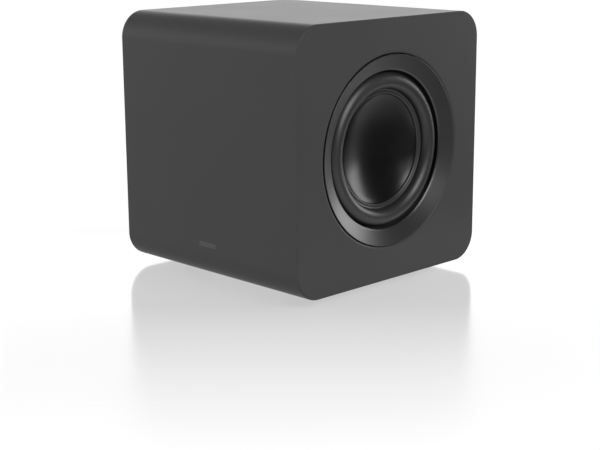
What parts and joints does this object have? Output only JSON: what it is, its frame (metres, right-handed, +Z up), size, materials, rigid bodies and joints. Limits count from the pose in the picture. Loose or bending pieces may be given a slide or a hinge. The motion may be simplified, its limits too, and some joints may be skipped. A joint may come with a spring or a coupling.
{
  "type": "powered subwoofer",
  "caption": "Compact cube powered subwoofer: satin dark grey rounded cabinet, front-firing long-throw cone in a bevelled trim ring, amplifier panel on the rear.",
  "frame": {"origin": "centre of the overall box at the level the feet stand on", "axes": "+Z up, the driver faces -Y, the amplifier panel faces +Y, the badge side is -X"},
  "size_m": [0.21, 0.222, 0.216],
  "materials": {
    "cabinet_paint": "satin dark grey paint on fibreboard",
    "badge": "plain dark grey bar",
    "foot_rubber": "matt black rubber",
    "bright_steel": "zinc plated",
    "black_steel": "black oxide",
    "gasket_foam": "closed cell foam",
    "basket_paint": "black paint",
    "trim_plastic": "satin dark grey moulding",
    "surround_rubber": "satin butyl rubber",
    "cone_plastic": "satin black",
    "bare_aluminium": "bare",
    "copper": "enamelled copper",
    "spider_cloth": "resin-treated cloth",
    "board_plastic": "circuit board laminate",
    "contact_brass": "nickel plated brass",
    "motor_steel": "black zinc",
    "ferrite": "sintered ferrite",
    "plate_black": "textured black coat on aluminium",
    "control_plastic": "moulded black",
    "knob_plastic": "fluted black moulding",
    "white_plastic": "moulded white",
    "red_plastic": "moulded red",
    "lamp_lens": "clear blue lens",
    "wire_jacket": "soft vinyl"
  },
  "bodies": {
    "cabinet": {"cabinet_wrap": "cabinet_paint", "front_baffle": "cabinet_paint", "rear_panel": "cabinet_paint", "badge_blank": "badge", "foot_front_left": "foot_rubber", "foot_front_right": "foot_rubber", "foot_rear_left": "foot_rubber", "foot_rear_right": "foot_rubber", "foot_screws": "bright_steel", "driver_gasket": "gasket_foam", "driver_basket": "basket_paint", "driver_screws": "black_steel", "trim_ring": "trim_plastic", "surround": "surround_rubber", "spider": "spider_cloth", "tinsel_leads": "copper", "terminal_board": "board_plastic", "terminal_tabs": "contact_brass", "top_plate": "motor_steel", "magnet": "ferrite", "pole_yoke": "motor_steel", "amp_plate": "plate_black", "amp_gasket": "gasket_foam", "amp_screws": "black_steel", "amp_chassis": "bright_steel", "chassis_posts": "bright_steel", "chassis_screws": "black_steel", "control_board": "board_plastic", "power_board": "board_plastic", "board_link": "control_plastic", "transformer": "ferrite", "filter_capacitors": "bare_aluminium", "output_inductors": "ferrite", "heat_sink": "bare_aluminium", "mains_inlet": "control_plastic", "inlet_pins": "contact_brass", "power_switch": "control_plastic", "volume_pot": "bright_steel", "crossover_pot": "bright_steel", "phase_switch": "bright_steel", "mode_switch": "bright_steel", "left_jack": "contact_brass", "left_jack_core": "white_plastic", "right_jack": "contact_brass", "right_jack_core": "red_plastic", "power_lamp": "lamp_lens", "speaker_cable": "wire_jacket", "cable_grommet": "foot_rubber"},
    "cone_assembly": {"cone": "cone_plastic", "coil_former": "bare_aluminium", "voice_coil": "copper"},
    "volume_control": {"volume_knob": "knob_plastic", "volume_shaft": "bare_aluminium"},
    "crossover_control": {"crossover_knob": "knob_plastic", "crossover_shaft": "bare_aluminium"},
    "mains_rocker": {"power_rocker": "control_plastic"},
    "phase_slide": {"phase_slider": "control_plastic"},
    "mode_slide": {"mode_slider": "control_plastic"},
    "fuse_tray": {"fuse_drawer": "control_plastic"}
  },
  "joints": [
    {"name": "cone_travel", "type": "slide", "parent": "cabinet", "child": "cone_assembly", "axis": [0, -1, 0], "range_m": [-0.008, 0.008], "stiffness_N_per_m": 3000, "deforming": ["surround", "spider", "tinsel_leads"]},
    {"name": "volume_turn", "type": "hinge", "parent": "cabinet", "child": "volume_control", "pos_m": [0.034, 0.097, 0.157], "axis": [0, -1, 0], "range_deg": [-140, 140]},
    {"name": "crossover_turn", "type": "hinge", "parent": "cabinet", "child": "crossover_control", "pos_m": [-0.006, 0.097, 0.157], "axis": [0, -1, 0], "range_deg": [-140, 140]},
    {"name": "mains_rock", "type": "hinge", "parent": "cabinet", "child": "mains_rocker", "pos_m": [-0.034, 0.0964, 0.067], "axis": [-1, 0, 0], "range_deg": [0, 16]},
    {"name": "phase_select", "type": "slide", "parent": "cabinet", "child": "phase_slide", "axis": [-1, 0, 0], "range_m": [0, 0.004]},
    {"name": "mode_select", "type": "slide", "parent": "cabinet", "child": "mode_slide", "axis": [-1, 0, 0], "range_m": [0, 0.004]},
    {"name": "fuse_pull", "type": "slide", "parent": "cabinet", "child": "fuse_tray", "axis": [0, 1, 0], "range_m": [0, 0.008]}
  ]
}
